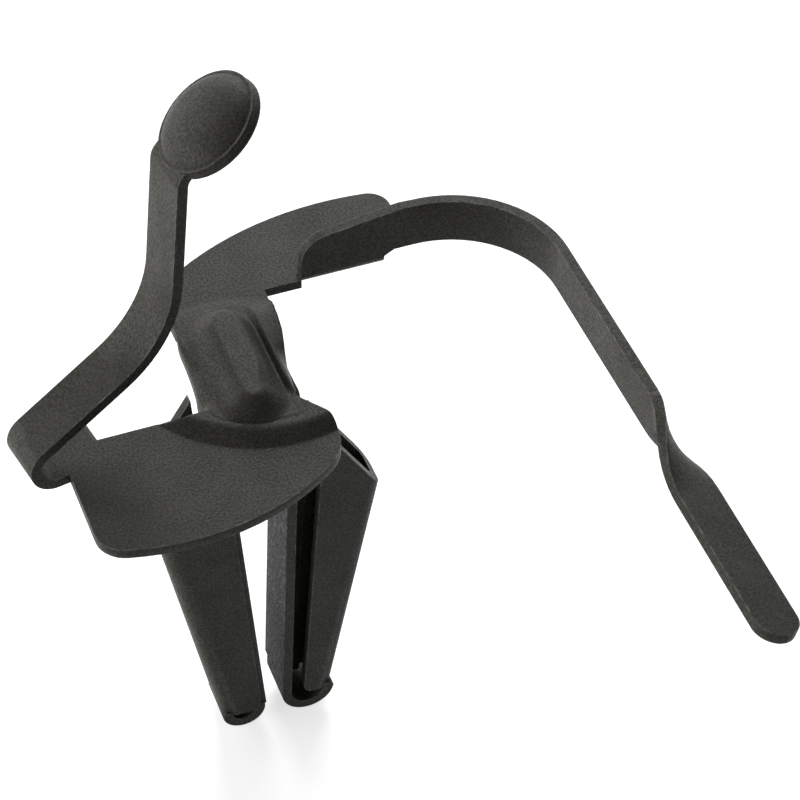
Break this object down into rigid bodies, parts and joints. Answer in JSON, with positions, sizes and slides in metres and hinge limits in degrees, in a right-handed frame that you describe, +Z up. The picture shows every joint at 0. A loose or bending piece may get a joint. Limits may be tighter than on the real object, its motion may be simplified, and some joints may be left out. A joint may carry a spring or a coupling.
{
  "type": "molding fastener clip",
  "caption": "Folded spring steel molding fastener: two flat wings on a ribbed waist, two box legs that snap into a panel hole, and two spring arms that end in a round button and a turned pad.",
  "frame": {"origin": "on the vertical axis of the two wings, at the level of their top faces, where the clip is held by the panel", "axes": "+Z up from the wings, away from the panel hole that the legs go into; +X from the left spring arm's root towards the right spring arm's long run; the pad of the right spring arm points along -Y"},
  "size_m": [0.031, 0.0374, 0.0456],
  "materials": {
    "coated_spring_steel": "satin dark phosphate coating"
  },
  "bodies": {
    "root": {"clip": "coated_spring_steel"}
  },
  "joints": []
}
